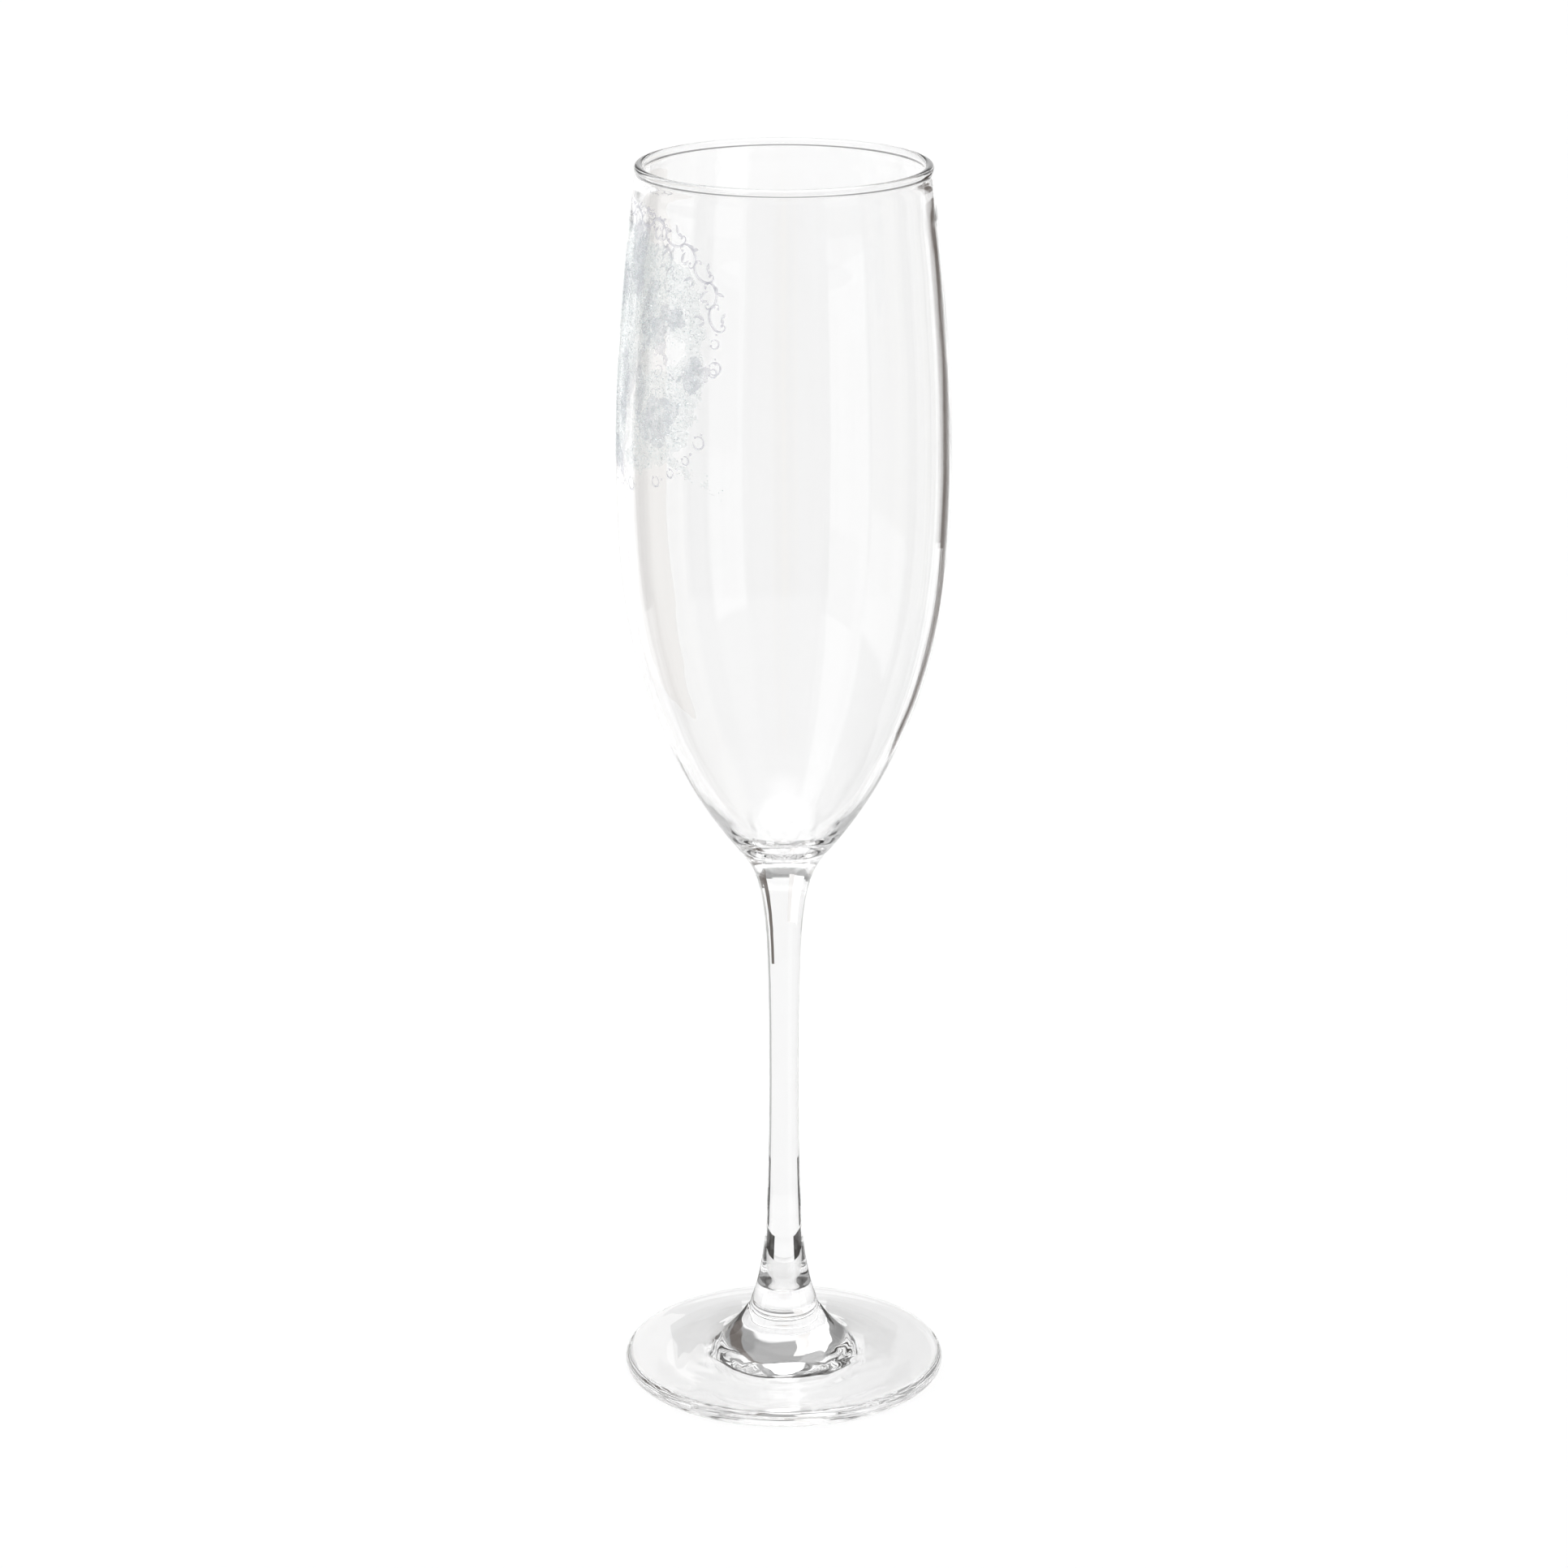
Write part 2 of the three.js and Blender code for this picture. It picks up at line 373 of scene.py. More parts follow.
def glass_skin_group():
    """Handled glass: a hair of unevenness, and a soft smudge here and there."""
    group = bpy.data.node_groups.new("glass_skin", "ShaderNodeTree")
    number_socket(group, "Ripple Scale", "INPUT", 60)
    number_socket(group, "Stretch", "INPUT", 0.1)
    number_socket(group, "Smudge", "INPUT", 0.02)
    number_socket(group, "Roughness", "OUTPUT")
    number_socket(group, "Height", "OUTPUT")
    nodes, links = group.nodes, group.links
    given, result = nodes.new("NodeGroupInput"), nodes.new("NodeGroupOutput")
    place = nodes.new("ShaderNodeTexCoord")
    squeeze = nodes.new("ShaderNodeCombineXYZ")
    squeeze.inputs["X"].default_value = 1
    squeeze.inputs["Y"].default_value = 1
    drawn = nodes.new("ShaderNodeVectorMath")
    drawn.operation = "MULTIPLY"
    ripple = nodes.new("ShaderNodeTexNoise")
    ripple.inputs["Detail"].default_value = 2
    patches = nodes.new("ShaderNodeTexNoise")
    patches.inputs["Scale"].default_value = 45
    patches.inputs["Detail"].default_value = 4
    smudges = nodes.new("ShaderNodeMapRange")
    smudges.interpolation_type = "SMOOTHSTEP"
    smudges.inputs["From Min"].default_value = 0.6
    smudges.inputs["From Max"].default_value = 0.75
    links.new(given.outputs["Stretch"], squeeze.inputs["Z"])
    links.new(place.outputs["Object"], drawn.inputs[0])
    links.new(squeeze.outputs["Vector"], drawn.inputs[1])
    links.new(drawn.outputs["Vector"], ripple.inputs["Vector"])
    links.new(given.outputs["Ripple Scale"], ripple.inputs["Scale"])
    links.new(place.outputs["Object"], patches.inputs["Vector"])
    links.new(patches.outputs["Fac"], smudges.inputs["Value"])
    links.new(given.outputs["Smudge"], smudges.inputs["To Max"])
    links.new(smudges.outputs["Result"], result.inputs["Roughness"])
    links.new(ripple.outputs["Fac"], result.inputs["Height"])
    return group


glass_skin = glass_skin_group()


def clear_glass(name, ripple_scale, stretch, smudge, depth, tint=1.0):
    """Glass with a skin of its own. depth is how deep its unevenness is, in millimetres."""
    material = bpy.data.materials.new(name)
    material.use_nodes = True
    nodes, links = material.node_tree.nodes, material.node_tree.links
    shader = nodes["Principled BSDF"]
    shader.inputs["Base Color"].default_value = (tint, tint, tint, 1)
    shader.inputs["IOR"].default_value = GLASS_INDEX
    shader.inputs["Transmission Weight"].default_value = 1
    skin = nodes.new("ShaderNodeGroup")
    skin.node_tree = glass_skin
    skin.inputs["Ripple Scale"].default_value = ripple_scale
    skin.inputs["Stretch"].default_value = stretch
    skin.inputs["Smudge"].default_value = smudge
    bump = nodes.new("ShaderNodeBump")
    bump.inputs["Distance"].default_value = depth * MM
    links.new(skin.outputs["Roughness"], shader.inputs["Roughness"])
    links.new(skin.outputs["Height"], bump.inputs["Height"])
    links.new(bump.outputs["Normal"], shader.inputs["Normal"])
    path = nodes.new("ShaderNodeLightPath")
    either = nodes.new("ShaderNodeMath")
    either.operation = "MAXIMUM"
    passing = nodes.new("ShaderNodeBsdfTransparent")
    passing.inputs["Color"].default_value = (SHADOW_TINT, SHADOW_TINT, SHADOW_TINT, 1)
    mix = nodes.new("ShaderNodeMixShader")
    links.new(path.outputs["Is Shadow Ray"], either.inputs[0])
    links.new(path.outputs["Is Diffuse Ray"], either.inputs[1])
    links.new(either.outputs["Value"], mix.inputs["Fac"])
    links.new(shader.outputs["BSDF"], mix.inputs[1])
    links.new(passing.outputs["BSDF"], mix.inputs[2])
    links.new(mix.outputs["Shader"], nodes["Material Output"].inputs["Surface"])
    return material


def fused_joint():
    """What fills a fused seam: nothing, as light goes straight through."""
    material = bpy.data.materials.new("fused_joint")
    material.use_nodes = True
    nodes = material.node_tree.nodes
    nodes.remove(nodes["Principled BSDF"])
    clear = nodes.new("ShaderNodeBsdfTransparent")
    material.node_tree.links.new(clear.outputs[0], nodes["Material Output"].inputs["Surface"])
    return material


pressed = clear_glass("pressed_glass", ripple_scale=140, stretch=1, smudge=0.05, depth=0.03)
drawn_out = clear_glass("drawn_glass", ripple_scale=160, stretch=1, smudge=0.02, depth=0.02, tint=0.97)
blown = clear_glass("blown_glass", ripple_scale=130, stretch=0.06, smudge=0.015, depth=0.03)
joint = fused_joint()
fused_pieces = (
    (foot_glass, pressed, "foot"),
    (stem_glass, drawn_out, "stem"),
    (bowl_glass, blown, "bowl"),
)
for piece, material, node in fused_pieces:
    piece.data.materials.append(material)
    piece.data.materials.append(joint)
    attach(piece, "root")
    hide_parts(node)

# %% [markdown]
# ## Where the print lies
#
# The medallion is screen-printed round the side of the bowl, so it lies on a curved wall.
# It is easiest to design flat, as if the wall were unrolled: "across" is the distance round
# the bowl from the medallion's middle, and "up" the height above it. One function then lays
# every printed point on the glass. Its turn, height and size come from the frame's border.

# %% From flat artwork to the bowl
outside = bowl_outline[:bowl_outline[:, 1].argmax()]
border_points = np.array([v.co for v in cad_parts["scroll_border"].data.vertices])
border_low, border_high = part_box("scroll_border")
print_turn = math.atan2(*border_points.mean(axis=0)[[1, 0]])
print_height = (border_low.z + border_high.z) / 2
half_up = (border_high.z - border_low.z) / 2


def wall_radius(height):
    """The radius of the bowl's outside at a height."""
    return float(np.interp(height, outside[:, 1], outside[:, 0]))


straight = np.abs(border_points[:, :2] @ (-math.sin(print_turn), math.cos(print_turn))).max()
print_radius = wall_radius(print_height)
half_across = print_radius * math.asin(straight / print_radius)


def on_bowl(across, up, lift):
    """The place on the bowl of a point of the unrolled print, both in millimetres."""
    height = print_height + up * MM
    radius = wall_radius(height)
    angle = print_turn + across * MM / radius
    reach = radius + lift * MM
    return Vector((reach * math.cos(angle), reach * math.sin(angle), height))


print(f"print: {2 * half_across / MM:.1f} mm across, {2 * half_up / MM:.1f} mm high")

# %% [markdown]
# ## The artwork's ragged patches
#
# Ink and glitter are dabbed on, so their edges are ragged. Each patch is a depth: how far a
# point is inside it, in millimetres, and less than nothing outside. Ovals are joined by
# taking the greater depth and cut out by taking the lesser one, and noise added to the
# depth frays the edge.

# %% Depth fields
RING_ACROSS = half_across / MM - 3.2
RING_UP = half_up / MM - 1.8
RING_RISE = 1.3
RING_POWER = 2.6
GLITTER_MARGIN = 2.2
FRAY_WIDTH = 1.2
FRAY_SIZE = 2.6


def oval(across, up, middle_across, middle_up, half_width, half_height, tilt=0):
    """Depth inside a tilted oval."""
    turn = math.radians(tilt)
    x, y = across - middle_across, up - middle_up
    along = (x * math.cos(turn) + y * math.sin(turn)) / half_width
    over = (y * math.cos(turn) - x * math.sin(turn)) / half_height
    return (1 - math.hypot(along, over)) * min(half_width, half_height)


def inside_ring(across, up):
    """Depth inside the squarish ring that the scrolls follow."""
    reach = abs(across / RING_ACROSS) ** RING_POWER + abs((up - RING_RISE) / RING_UP) ** RING_POWER
    return (1 - reach ** (1 / RING_POWER)) * RING_UP


def fray(across, up, layer):
    """Noise for a ragged edge. Each layer number gives a pattern of its own."""
    return noise.fractal(Vector((across / FRAY_SIZE, up / FRAY_SIZE, layer)), 0.8, 2.1, 5)


# Each oval is its middle across and up, its half width and half height, and its tilt.
INK_SPOTS = (
    (18, 9.3, 2.9, 2.7), (12.8, 5.6, 6, 1.4, 33), (21.8, -0.6, 3.4, 3.3), (5.2, 19, 3, 8),
    (2.4, -8, 2.2, 10), (15, -9.5, 6.5, 4.5, 20), (-4, 12, 5, 4), (-14, 14, 5, 6, 30),
    (-21, 3, 3, 6), (-12, -8, 7, 3, -30), (-3, -19, 7, 2.6), (-18, -13, 3, 3),
)
BARE_SPOTS = (
    (15.8, 2.2, 6.8, 2.5, 22), (6.2, -9.5, 9.5, 1.7, 80), (10.5, 24, 4.5, 2.4, -20), (4, -20, 1.7, 4),
    (-10, 3, 6, 2.6, 140), (-16, -4, 2, 5), (-8, 20, 4, 2),
)
SPLASH = (19, -16.2, 8.5, 1.1, -22)


def ink_depth(across, up):
    """Depth inside the ground ink, which lies in marbled spots."""
    swirl = 2.5 * fray(up / 2, across / 2, 8.1)
    marbled = 2.6 * fray((across + swirl) / 2.2, (up - swirl) / 2.2, 5.9)
    depth = max(oval(across, up, *spot) for spot in INK_SPOTS) + marbled
    return min(depth, inside_ring(across, up) - 1) + FRAY_WIDTH / 2 * fray(across, up, 3.7)


def glitter_depth(across, up):
    """Depth inside the glitter coat: the whole ring, less the bare spots, and a splash."""
    depth = inside_ring(across, up) - GLITTER_MARGIN
    depth = min(depth, *(-oval(across, up, *spot) for spot in BARE_SPOTS))
    depth = max(depth, oval(across, up, *SPLASH))
    return depth + FRAY_WIDTH * fray(across, up, 11.3)


# %% [markdown]
# ## Cutting a patch out of a grid
#
# A fine grid of triangles is laid over the artwork. Triangles wholly inside the patch are
# kept, those wholly outside are dropped, and those on its edge are cut where the depth
# passes nought. The edge of the ink is then real geometry, crisp at any distance.

# %% Cut and lay a patch
GRID_STEP = 0.36


def cut_patch(name, depth, lift):
    """A sheet on the bowl covering every point of the print where depth is above nought."""
    columns = np.arange(-half_across / MM, half_across / MM, GRID_STEP)
    rows = np.arange(-half_up / MM, half_up / MM + RING_RISE, GRID_STEP)
    depths = np.array([[depth(x, y) for y in rows] for x in columns])
    points, faces, known = [], [], {}

    def corner(key, across, up):
        if key not in known:
            known[key] = len(points)
            points.append(on_bowl(across, up, lift))
        return known[key]

    def cut(triangle):
        loop = []
        for a, b in zip(triangle, triangle[1:] + triangle[:1]):
            here, there = depths[a], depths[b]
            if here > 0:
                loop.append(corner(a, columns[a[0]], rows[a[1]]))
            if (here > 0) != (there > 0):
                share = here / (here - there)
                across = columns[a[0]] + (columns[b[0]] - columns[a[0]]) * share
                up = rows[a[1]] + (rows[b[1]] - rows[a[1]]) * share
                loop.append(corner(tuple(sorted((a, b))), across, up))
        if len(loop) > 2:
            faces.append(loop)

    for i in range(len(columns) - 1):
        for j in range(len(rows) - 1):
            near, right, above, far = (i, j), (i + 1, j), (i, j + 1), (i + 1, j + 1)
            cut([near, right, far])
            cut([near, far, above])
    return new_piece(name, points, faces)


INK_LIFT = 0.03
LACQUER_LIFT = 0.05
ground_ink = cut_patch("ground_ink", ink_depth, INK_LIFT)
glitter_lacquer = cut_patch("glitter_lacquer", glitter_depth, LACQUER_LIFT)

# %% [markdown]
# ## Thousands of glitter flakes
#
# Glitter is metallised film chopped into tiny flakes. They sink into the lacquer at all
# angles, and each sends its mirror light somewhere else, so a few flash and the rest look
# grey. A normal map would smear that, so every flake is a real little plate with its own
# size and tilt. They lie thick inside the patch and stray a little past its edge.

# %% Flakes
FLAKE_TRIES = 36000
FLAKE_SMALL, FLAKE_LARGE = 0.06, 0.14
FLAKE_LOW, FLAKE_HIGH = 0.07, 0.14
FLAKE_CORNERS = (0.3, 1.5, 2.9, 4.4)
FLAKE_TILT = math.radians(17)
STRAY_REACH = 1.3
FLASH_SHARE = 0.07
FLASH_LEAN = 0.95
FLASH_SIZE = 0.2
FLASH_STRETCH = 0.4
dice = random.Random(21)
flake_points, flake_faces = [], []
for _ in range(FLAKE_TRIES):
    across = dice.uniform(-half_across, half_across) / MM
    up = dice.uniform(-half_up, half_up + RING_RISE * MM) / MM
    chance = (glitter_depth(across, up) + STRAY_REACH) / (2.2 * STRAY_REACH)
    if dice.random() > max(chance, 0) ** 2:
        continue
    middle = on_bowl(across, up, dice.uniform(FLAKE_LOW, FLAKE_HIGH))
    outward = Vector((middle.x, middle.y, 0)).normalized()
    lean = Vector([dice.gauss(0, math.sin(FLAKE_TILT)) for _ in range(3)])
    if dice.random() < FLASH_SHARE:
        lean.z += FLASH_LEAN
    facing_out = (outward + lean).normalized()
    side_way = facing_out.cross(Vector((0, 0, 1))).normalized()
    up_way = side_way.cross(facing_out)
    flash = abs(lean.z) > FLASH_LEAN / 2
    size = (FLASH_SIZE if flash else dice.uniform(FLAKE_SMALL, FLAKE_LARGE)) * MM
    stretch = FLASH_STRETCH if flash else dice.uniform(0.5, 0.95)
    first = len(flake_points)
    for turn in FLAKE_CORNERS:
        sideways, upwards = math.cos(turn) * size, math.sin(turn) * size * stretch
        flake_points.append(middle + side_way * sideways + up_way * upwards)
    flake_faces.append(tuple(range(first, first + 4)))
glitter_flakes = new_piece("glitter_flakes", flake_points, flake_faces, smooth=False)

# %% [markdown]
# ## Scrolls round the edge
#
# The border is a printed pattern of C-scrolls, leaves and small rings, a stock ornament of
# its kind. A C-scroll is a stroke that bends faster and faster towards both of its ends, so
# it is drawn by walking along it and turning a little more at each step. The strokes swell
# in the middle, as a pen's do, and end in small round balls.

# %% Strokes
LINE_LIFT = 0.06
DOT_SIDES = 10
SCROLL_TURN = math.radians(530)
scroll_points, scroll_faces = [], []


def stroke(path, widths):
    """A ribbon along a flat path of (across, up) points, as wide at each as widths says."""
    first = len(scroll_points)
    last = len(path) - 1
    for i, ((x, y), width) in enumerate(zip(path, widths)):
        x0, y0 = path[max(i - 1, 0)]
        x1, y1 = path[min(i + 1, last)]
        length = math.hypot(x1 - x0, y1 - y0)
        nx, ny = (y0 - y1) / length * width / 2, (x1 - x0) / length * width / 2
        scroll_points.append(on_bowl(x - nx, y - ny, LINE_LIFT))
        scroll_points.append(on_bowl(x + nx, y + ny, LINE_LIFT))
    for i in range(last):
        a = first + 2 * i
        scroll_faces.append((a, a + 2, a + 3, a + 1))


def ball(x, y, radius):
    """A filled round dot."""
    first = len(scroll_points)
    for i in range(DOT_SIDES):
        turn = i * 2 * math.pi / DOT_SIDES
        scroll_points.append(on_bowl(x + radius * math.cos(turn), y + radius * math.sin(turn), LINE_LIFT))
    scroll_faces.append(tuple(range(first, first + DOT_SIDES)))


def small_ring(x, y, radius, start, sweep):
    """A thin open ring, like a curled tendril."""
    steps = 20
    turns = [start + sweep * i / steps for i in range(steps + 1)]
    path = [(x + radius * math.cos(t), y + radius * math.sin(t)) for t in turns]
    stroke(path, [0.16 + 0.22 * math.sin(math.pi * i / steps) for i in range(steps + 1)])
    ball(*path[0], 0.24)


def c_scroll(x, y, size, heading, way):
    """A C-scroll round (x, y). way is 1 or -1, for which side it opens to."""
    steps = 34
    turning = [0.35 + 3.4 * abs(2 * (i + 0.5) / steps - 1) ** 3 for i in range(steps)]
    scale = SCROLL_TURN / sum(turning)
    path, turned = [(0.0, 0.0)], heading
    for amount in turning:
        turned += way * scale * amount
        px, py = path[-1]
        path.append((px + size / steps * math.cos(turned), py + size / steps * math.sin(turned)))
    mx, my = (sum(p[i] for p in path) / len(path) for i in (0, 1))
    path = [(x + px - mx, y + py - my) for px, py in path]
    stroke(path, [0.15 + 0.36 * math.sin(math.pi * i / steps) for i in range(steps + 1)])
    ball(*path[0], 0.27)
    ball(*path[-1], 0.27)


def leaf(x, y, length, width, heading, bend):
    """A pointed leaf growing from (x, y)."""
    steps = 9
    path, turned = [(x, y)], heading
    for _ in range(steps):
        turned += bend / steps
        px, py = path[-1]
        path.append((px + length / steps * math.cos(turned), py + length / steps * math.sin(turned)))
    stroke(path, [0.03 + width * math.sin(math.pi * (i / steps) ** 0.75) for i in range(steps + 1)])


# %% [markdown]
# The motifs stand round the squarish ring at even distances. The ring is walked in small
# steps to find where each belongs and which way is outward there. Over the top half they
# are full scrolls with sprigs of leaves, and lower down only small rings.

# %% Motifs round the ring
MOTIF_PITCH = 4.3
RING_STEPS = 1440
FULL_FROM = 0.165
RINGS_LEFT_OUT = 0.3


def ring_place(turn):
    """The place on the ring at a turn round its middle."""
    x, y = math.cos(turn), math.sin(turn)
    reach = (abs(x / RING_ACROSS) ** RING_POWER + abs(y / RING_UP) ** RING_POWER) ** (-1 / RING_POWER)
    return reach * x, reach * y + RING_RISE


def add_small_ring(x, y, outward, way):
    """A ring whose gap faces the middle of the print, with a dot beside it."""
    along = outward + math.pi / 2
    gap = outward + math.pi - 0.4 * way
    small_ring(x + dice.uniform(-0.3, 0.3), y, dice.uniform(0.7, 1.15), gap, way * -5.5)
    ball(x + 1.7 * math.cos(along), y + 1.7 * math.sin(along), dice.uniform(0.15, 0.3))


def add_scroll(x, y, outward, way):
    """A C-scroll with leaves outside and inside it, and a dot beside it."""
    along = outward + math.pi / 2
    c_scroll(x, y, dice.uniform(8.6, 10), outward + (0.3 if way > 0 else 2.8), way)
    base_x, base_y = x + 1.1 * math.cos(outward), y + 1.1 * math.sin(outward)
    for spread in (-way, 0.5 * way):
        leaf(base_x, base_y, dice.uniform(1.2, 1.8), 0.6, outward + spread, 0.9 * spread)
    inner_x, inner_y = x - 2.2 * math.cos(outward), y - 2.2 * math.sin(outward)
    leaf(inner_x, inner_y, 2.4, 0.6, along + 0.3 * way, 1.5 * way)
    leaf(inner_x, inner_y, 1.6, 0.5, along + 2.6 * way, -1.2 * way)
    ball(x + 2.3 * math.cos(along), y + 2.3 * math.sin(along), 0.3)


walk = [ring_place(2 * math.pi * i / RING_STEPS) for i in range(RING_STEPS + 1)]
since, motifs = MOTIF_PITCH, 0
for i, ((x0, y0), (x1, y1)) in enumerate(zip(walk, walk[1:])):
    since += math.hypot(x1 - x0, y1 - y0)
    if since < MOTIF_PITCH:
        continue
    since, motifs = 0, motifs + 1
    outward = math.atan2(-(x1 - x0), y1 - y0)
    way = 1 if motifs % 2 else -1
    if math.sin(2 * math.pi * i / RING_STEPS) > FULL_FROM:
        add_scroll(x0, y0, outward, way)
    elif dice.random() >= RINGS_LEFT_OUT:
        add_small_ring(x0, y0, outward, way)
scroll_border = new_piece("scroll_border_ink", scroll_points, scroll_faces)
print(f"{motifs} places for motifs")

# %% [markdown]
# ## Ink and lacquer
#
# Printed ceramic ink is thin and uneven, so light comes through it more in some places than
# in others. One node group makes that unevenness for the ground, the scrolls and the
# lacquer, each with its own colours and cover: a coarse mottle for how thick the ink lies,
# and a fine grain for its tooth.

# %% A group for uneven ink
def colour_socket(group, name, in_out):
    """A colour going into a node group or coming out of it."""
    group.interface.new_socket(name, in_out=in_out, socket_type="NodeSocketColor")


def uneven_ink_group():
    """Ink that lies thick in some places and thin in others."""
    group = bpy.data.node_groups.new("uneven_ink", "ShaderNodeTree")
    colour_socket(group, "Thick Colour", "INPUT")
    colour_socket(group, "Thin Colour", "INPUT")
    number_socket(group, "Mottle Scale", "INPUT", 400)
    number_socket(group, "Thin Cover", "INPUT", 0.3)
    number_socket(group, "Thick Cover", "INPUT", 0.6)
    colour_socket(group, "Color", "OUTPUT")
    number_socket(group, "Cover", "OUTPUT")
    number_socket(group, "Height", "OUTPUT")
    nodes, links = group.nodes, group.links
    given, result = nodes.new("NodeGroupInput"), nodes.new("NodeGroupOutput")
    place = nodes.new("ShaderNodeTexCoord")
    mottle = nodes.new("ShaderNodeTexNoise")
    mottle.inputs["Detail"].default_value = 6
    mottle.inputs["Roughness"].default_value = 0.65
    even = nodes.new("ShaderNodeMapRange")
    even.interpolation_type = "SMOOTHSTEP"
    even.inputs["From Min"].default_value = 0.32
    even.inputs["From Max"].default_value = 0.66
    cover = nodes.new("ShaderNodeMapRange")
    tint = nodes.new("ShaderNodeMix")
    tint.data_type = "RGBA"
    tooth = nodes.new("ShaderNodeTexNoise")
    tooth.inputs["Scale"].default_value = 9000
    links.new(place.outputs["Object"], mottle.inputs["Vector"])
    links.new(place.outputs["Object"], tooth.inputs["Vector"])
    links.new(given.outputs["Mottle Scale"], mottle.inputs["Scale"])
    links.new(mottle.outputs["Fac"], even.inputs["Value"])
    links.new(even.outputs["Result"], cover.inputs["Value"])
    links.new(given.outputs["Thin Cover"], cover.inputs["To Min"])
    links.new(given.outputs["Thick Cover"], cover.inputs["To Max"])
    links.new(even.outputs["Result"], tint.inputs["Factor"])
    links.new(given.outputs["Thin Colour"], tint.inputs["A"])
    links.new(given.outputs["Thick Colour"], tint.inputs["B"])
    links.new(tint.outputs["Result"], result.inputs["Color"])
    links.new(cover.outputs["Result"], result.inputs["Cover"])
    links.new(tooth.outputs["Fac"], result.inputs["Height"])
    return group


uneven_ink = uneven_ink_group()


def ink_material(name, colours, scale, covers, roughness, tooth_height):
    """Ink with its thick and thin colours, and its thin and thick cover."""
    thick, thin = colours
    material = bpy.data.materials.new(name)
    material.use_nodes = True
    nodes, links = material.node_tree.nodes, material.node_tree.links
    shader = nodes["Principled BSDF"]
    shader.inputs["Roughness"].default_value = roughness
    ink = nodes.new("ShaderNodeGroup")
    ink.node_tree = uneven_ink
    ink.inputs["Thick Colour"].default_value = (*thick, 1)
    ink.inputs["Thin Colour"].default_value = (*thin, 1)
    ink.inputs["Mottle Scale"].default_value = scale
    ink.inputs["Thin Cover"].default_value, ink.inputs["Thick Cover"].default_value = covers
    bump = nodes.new("ShaderNodeBump")
    bump.inputs["Distance"].default_value = tooth_height * MM
    links.new(ink.outputs["Height"], bump.inputs["Height"])
    links.new(bump.outputs["Normal"], shader.inputs["Normal"])
    links.new(ink.outputs["Color"], shader.inputs["Base Color"])
    links.new(ink.outputs["Cover"], shader.inputs["Alpha"])
    return material


LILACS = (0.56, 0.56, 0.63), (0.74, 0.74, 0.80)
SILVERS = (0.76, 0.83, 0.84), (0.87, 0.92, 0.93)
ground_paint = ink_material(
    "ground_ink", LILACS, scale=420, covers=(0.22, 0.5), roughness=0.5, tooth_height=0.01)
scroll_paint = ink_material(
    "scroll_ink", LILACS, scale=700, covers=(0.34, 0.6), roughness=0.5, tooth_height=0.01)
lacquer_paint = ink_material(
    "glitter_lacquer", SILVERS, scale=900, covers=(0.14, 0.30), roughness=0.35, tooth_height=0.02)

# %% [markdown]
# The flakes share one material. Each flake is an island of the mesh, and the Geometry node
# gives every island a random number of its own, which picks its shade from silver to the
# faint blue and lilac of metallised film.

# %% Flake material
FOIL_TONES = (
    (0.70, 0.80, 0.82), (0.90, 0.95, 0.95), (0.80, 0.91, 0.92), (0.86, 0.87, 0.92), (0.97, 0.98, 0.98),
)


def flake_foil():
    """Metallised film in a few tones, one for each flake."""
    material = bpy.data.materials.new("glitter_foil")
    material.use_nodes = True
    nodes, links = material.node_tree.nodes, material.node_tree.links
    shader = nodes["Principled BSDF"]
    shader.inputs["Metallic"].default_value = 0.4
    shader.inputs["Roughness"].default_value = 0.22
    island = nodes.new("ShaderNodeNewGeometry")
    shades = nodes.new("ShaderNodeValToRGB")
    shades.color_ramp.interpolation = "CONSTANT"
    elements = shades.color_ramp.elements
    while len(elements) < len(FOIL_TONES):
        elements.new(0.5)
    for i, (element, tone) in enumerate(zip(elements, FOIL_TONES)):
        element.position = i / len(FOIL_TONES)
        element.color = (*tone, 1)
    links.new(island.outputs["Random Per Island"], shades.inputs["Fac"])
    links.new(shades.outputs["Color"], shader.inputs["Base Color"])
    return material


printed = (
    (ground_ink, ground_paint, "ground_ink", "print_ground"),
    (glitter_lacquer, lacquer_paint, "glitter_coat", "print_glitter"),
    (glitter_flakes, flake_foil(), "glitter_coat", "print_glitter"),
    (scroll_border, scroll_paint, "scroll_ink", "scroll_border"),
)
for piece, material, slot, node in printed:
    piece.data.materials.append(material)
    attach(piece, "root")
    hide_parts(node)

# %% [markdown]
# ## The table
#
# The flute stands on a wide sheet of pale matt paper. It is so wide that its far edge is
# never seen, and a hair lower than the foot, so that the two surfaces don't fight.

# %% Floor
FLOOR_REACH = 12
FLOOR_DROP = 0.05 * MM
floor_mesh = bpy.data.meshes.new("floor")
floor_corners = [
    (x * FLOOR_REACH, y * FLOOR_REACH, -FLOOR_DROP) for x, y in ((-1, -1), (1, -1), (1, 1), (-1, 1))
]
floor_mesh.from_pydata(floor_corners, [], [(0, 1, 2, 3)])
floor = bpy.data.objects.new("floor", floor_mesh)
bpy.context.scene.collection.objects.link(floor)
floor_material = bpy.data.materials.new("floor_paper")
floor_material.use_nodes = True
paper = floor_material.node_tree.nodes["Principled BSDF"]
paper.inputs["Base Color"].default_value = (0.88, 0.88, 0.88, 1)
paper.inputs["Roughness"].default_value = 1
paper.inputs["Specular IOR Level"].default_value = 0
floor_mesh.materials.append(floor_material)

# %% [markdown]
# ## The studio
#
# Clear glass shows nothing of its own, only what stands round it. So the flute stands on
# white in a dim room. Light comes from the table, from a low white band all round, from a
# white screen behind the flute and from a large soft light overhead, and the dimness
# between them draws the edges. The world's colour is worked out from the direction alone:
# a ramp by height for the band, the room and the light, and a patch for the screen.

